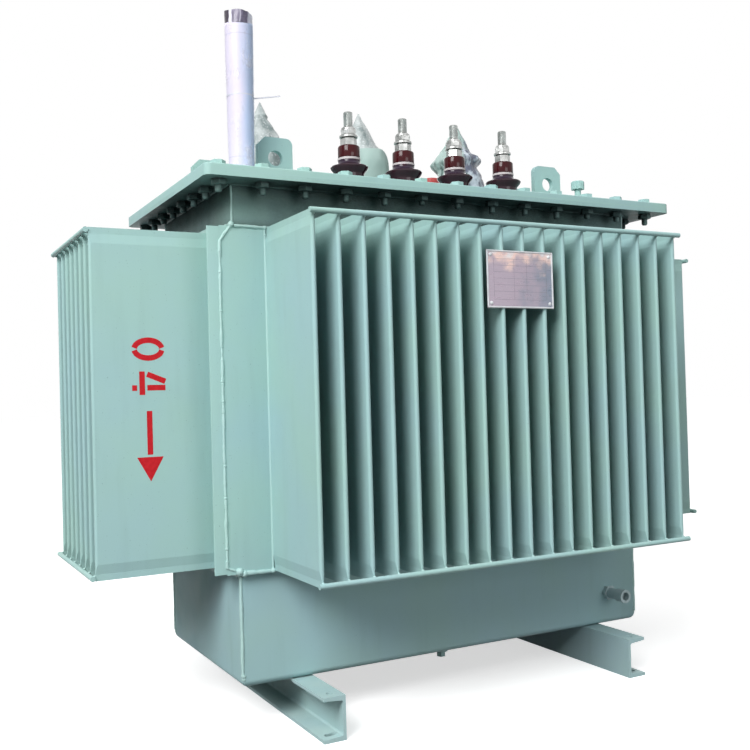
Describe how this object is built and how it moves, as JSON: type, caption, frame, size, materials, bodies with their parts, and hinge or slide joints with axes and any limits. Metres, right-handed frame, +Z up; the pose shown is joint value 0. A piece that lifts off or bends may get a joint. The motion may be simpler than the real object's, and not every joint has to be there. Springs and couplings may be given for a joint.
{
  "type": "power transformer",
  "caption": "Oil-filled distribution transformer: welded tank on base channels, corrugated cooling fins on all sides, bolted cover with bushings, lifting lugs and a filler pipe.",
  "frame": {"origin": "floor level under the middle of the tank", "axes": "+X along the long side, -Y towards the low-voltage side, +Z up"},
  "size_m": [1.368, 0.84, 1.273],
  "materials": {
    "tank_paint": "semi-gloss sprayed paint over welded sheet steel",
    "gasket_rubber": "moulded oil-proof rubber",
    "plated_steel": "tin-plated threaded steel",
    "brown_porcelain": "glossy red-brown glaze",
    "wrap_film": "creased translucent packing film",
    "paper": "rolled white sheet in a thin clear sleeve",
    "strap_plastic": "thin pale strap",
    "red_cap": "moulded red plastic",
    "core_steel": "stacked core sheet and taped windings, sealed in the tank",
    "plate_steel": "etched stainless sheet, left blank"
  },
  "bodies": {
    "root": {"base_channel_left": "tank_paint", "base_channel_right": "tank_paint", "core_and_windings": "core_steel", "corrugated_wall_front": "tank_paint", "corrugated_wall_left": "tank_paint", "corrugated_wall_rear": "tank_paint", "corrugated_wall_right": "tank_paint", "cover_gasket": "gasket_rubber", "cover_plate": "tank_paint", "document_roll": "paper", "drain_plug": "tank_paint", "drain_valve": "tank_paint", "filler_pipe": "tank_paint", "fin_rods_front": "tank_paint", "fin_rods_left": "tank_paint", "fin_rods_rear": "tank_paint", "fin_rods_right": "tank_paint", "hv_bushing_1": "brown_porcelain", "hv_bushing_2": "brown_porcelain", "hv_bushing_3": "brown_porcelain", "hv_terminals": "plated_steel", "hv_wrap_1": "wrap_film", "hv_wrap_2": "wrap_film", "hv_wrap_3": "wrap_film", "lifting_lug_front_left": "tank_paint", "lifting_lug_front_right": "tank_paint", "lifting_lug_rear_left": "tank_paint", "lifting_lug_rear_right": "tank_paint", "lower_tank": "tank_paint", "lv_bushing_1": "brown_porcelain", "lv_bushing_2": "brown_porcelain", "lv_bushing_3": "brown_porcelain", "lv_bushing_4": "brown_porcelain", "lv_gaskets": "gasket_rubber", "lv_terminal_1": "plated_steel", "lv_terminal_2": "plated_steel", "lv_terminal_3": "plated_steel", "lv_terminal_4": "plated_steel", "nameplate": "plate_steel", "relief_valve": "tank_paint", "rim_flange": "tank_paint", "roll_tie": "strap_plastic", "tap_changer_base": "tank_paint", "tap_changer_cap": "red_cap", "upper_frame": "tank_paint"}
  },
  "joints": []
}
